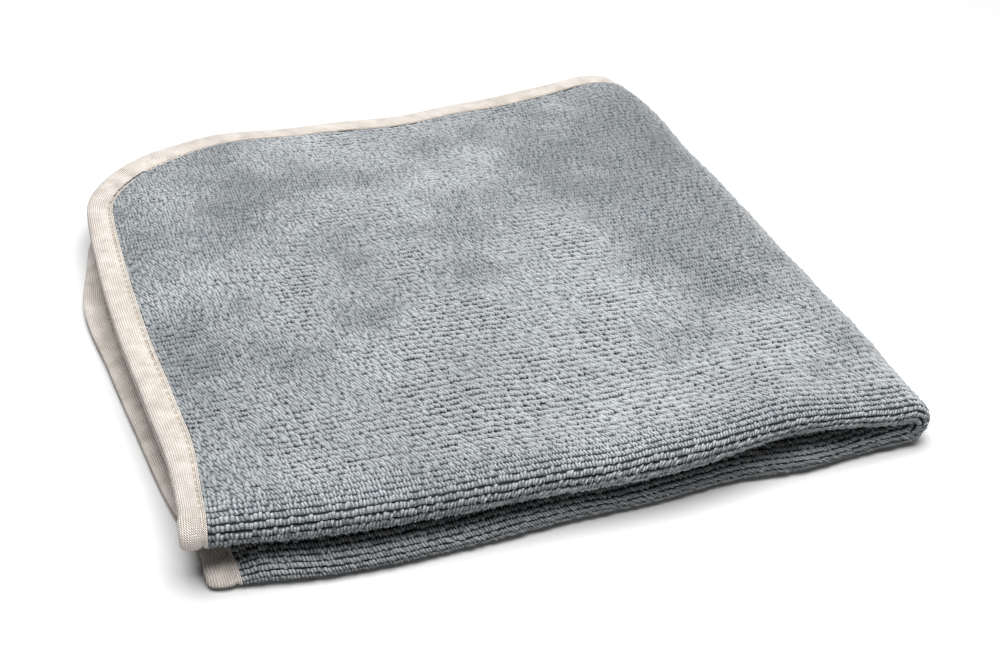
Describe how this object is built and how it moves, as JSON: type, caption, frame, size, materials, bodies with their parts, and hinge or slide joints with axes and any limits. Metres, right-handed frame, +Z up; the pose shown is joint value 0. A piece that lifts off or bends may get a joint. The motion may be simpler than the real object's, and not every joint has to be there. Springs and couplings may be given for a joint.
{
  "type": "folded detailing towel",
  "caption": "Square microfibre terry detailing towel with a satin edge binding, folded in quarters; the top half opens like a book.",
  "frame": {"origin": "bottom centre of the folded towel", "axes": "+Z up through the stack, +X towards the second fold, +Y towards the bound back edge, away from the first fold"},
  "size_m": [0.205, 0.205, 0.0169],
  "materials": {
    "terry": "grey-blue microfibre terry, looped both sides",
    "binding": "cream satin-faced woven tape",
    "thread": "cream polyester sewing thread"
  },
  "bodies": {
    "lower_half": {"bottom_binding": "binding", "bottom_bobbin_thread": "thread", "bottom_needle_thread": "thread", "bottom_panel": "terry", "corner_fold": "terry", "inner_right_fold": "terry", "inner_wrap_binding": "binding", "inner_wrap_bobbin_thread": "thread", "inner_wrap_needle_thread": "thread", "lower_front_fold": "terry", "lower_inner_binding": "binding", "lower_inner_bobbin_thread": "thread", "lower_inner_needle_thread": "thread", "lower_inner_panel": "terry", "lower_knuckle_binding": "binding", "lower_knuckle_bobbin_thread": "thread", "lower_knuckle_needle_thread": "thread", "outer_right_fold": "terry", "outer_wrap_binding": "binding", "outer_wrap_bobbin_thread": "thread", "outer_wrap_needle_thread": "thread"},
    "upper_half": {"top_binding": "binding", "top_bobbin_thread": "thread", "top_needle_thread": "thread", "top_panel": "terry", "upper_front_fold": "terry", "upper_inner_binding": "binding", "upper_inner_bobbin_thread": "thread", "upper_inner_needle_thread": "thread", "upper_inner_panel": "terry", "upper_knuckle_binding": "binding", "upper_knuckle_bobbin_thread": "thread", "upper_knuckle_needle_thread": "thread"}
  },
  "joints": [
    {"name": "book_fold", "type": "hinge", "parent": "lower_half", "child": "upper_half", "pos_m": [0.09405, 0, 0.00845], "axis": [0, 1, 0], "range_deg": [0, 180], "deforming": ["corner_fold", "inner_right_fold", "inner_wrap_binding", "inner_wrap_bobbin_thread", "inner_wrap_needle_thread", "outer_right_fold", "outer_wrap_binding", "outer_wrap_bobbin_thread", "outer_wrap_needle_thread"]}
  ]
}
